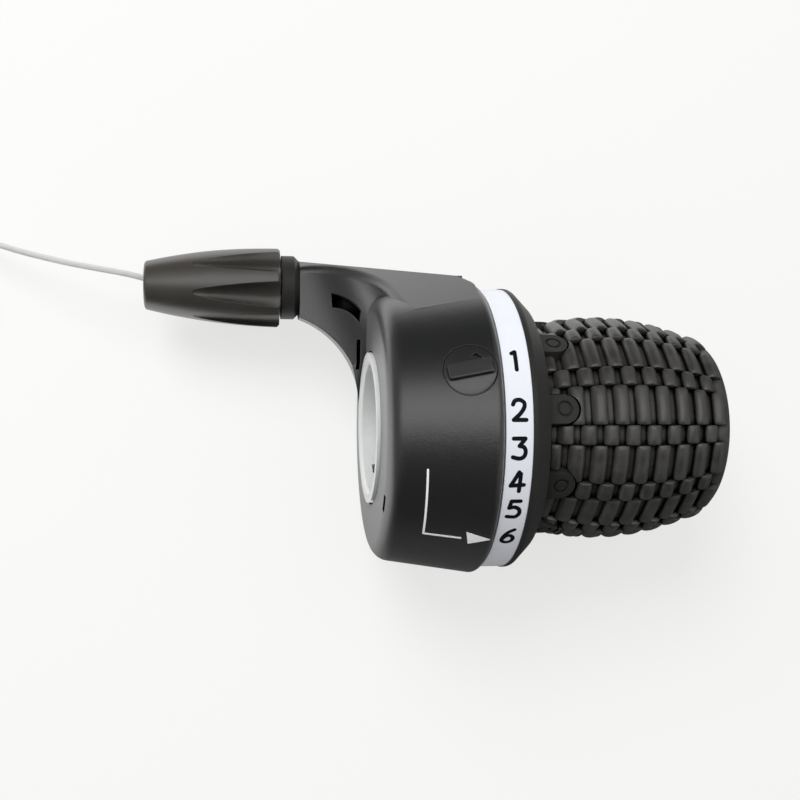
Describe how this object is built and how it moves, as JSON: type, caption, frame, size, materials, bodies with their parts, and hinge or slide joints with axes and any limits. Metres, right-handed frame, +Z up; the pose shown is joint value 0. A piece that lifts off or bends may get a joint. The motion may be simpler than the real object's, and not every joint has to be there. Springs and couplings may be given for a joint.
{
  "type": "twist grip shifter",
  "caption": "Right-hand twist grip gear shifter: clamp ring, housing with a curved cable arm, numbered band, ribbed rubber grip, fluted barrel adjuster and gear wire.",
  "frame": {"origin": "on the handlebar's axis, where the clamp ring's bore begins at its inboard end", "axes": "+X along the bar toward its end and the grip, +Y forward toward the cable arm, +Z up"},
  "size_m": [0.1571, 0.0648, 0.0506],
  "materials": {
    "housing_plastic": "fine moulded texture",
    "drum_plastic": "smooth moulding",
    "band_plastic": "semi-gloss white",
    "tube_plastic": "satin moulding",
    "grip_rubber": "moulded ribs",
    "knob_plastic": "semi-gloss moulding",
    "ring_alloy": "turned and dull polished",
    "fastener_steel": "zinc plated",
    "spring_steel": "drawn",
    "insert_brass": "turned",
    "stem_alloy": "threaded",
    "wire_steel": "stranded",
    "washer_plastic": "smooth",
    "tie_plastic": "smooth"
  },
  "bodies": {
    "housing": {"shifter_housing": "housing_plastic", "clamp_ring": "ring_alloy", "clamp_screw": "fastener_steel", "clamp_nut": "fastener_steel", "detent_spring": "spring_steel", "thrust_washer": "washer_plastic", "retaining_ring": "spring_steel", "adjuster_collar": "knob_plastic", "thread_insert": "insert_brass", "adjuster_spring": "spring_steel", "inner_wire": "wire_steel", "wire_run": "wire_steel", "wire_coil": "wire_steel", "wire_tie": "tie_plastic"},
    "twist": {"wire_drum": "drum_plastic", "wire_head": "wire_steel", "number_band": "band_plastic", "grip_tube": "tube_plastic", "rubber_grip": "grip_rubber"},
    "hatch": {"cable_hatch": "housing_plastic"},
    "seat": {"casing_seat": "fastener_steel"},
    "adjuster": {"adjuster_knob": "knob_plastic", "adjuster_stem": "stem_alloy"}
  },
  "joints": [
    {"name": "twist_turn", "type": "hinge", "parent": "housing", "child": "twist", "pos_m": [0, 0, 0], "axis": [1, 0, 0], "range_deg": [0, 71.7], "deforming": ["inner_wire", "detent_spring"]},
    {"name": "hatch_turn", "type": "hinge", "parent": "housing", "child": "hatch", "pos_m": [0.01275, 0.00908, 0.02293], "axis": [-0.1599, 0.3634, 0.9178], "range_deg": [0, 90]},
    {"name": "adjuster_slide", "type": "slide", "parent": "housing", "child": "seat", "axis": [-1, 0, 0], "range_m": [0, 0.0028], "deforming": ["adjuster_spring"]},
    {"name": "adjuster_turn", "type": "hinge", "parent": "seat", "child": "adjuster", "pos_m": [-0.0153, 0.0258, -0.012], "axis": [-1, 0, 0], "range_deg": [0, 1440.5]}
  ],
  "couplings": [
    {"joint": "adjuster_turn", "follows": "adjuster_slide", "rad_per_m": 8976}
  ]
}
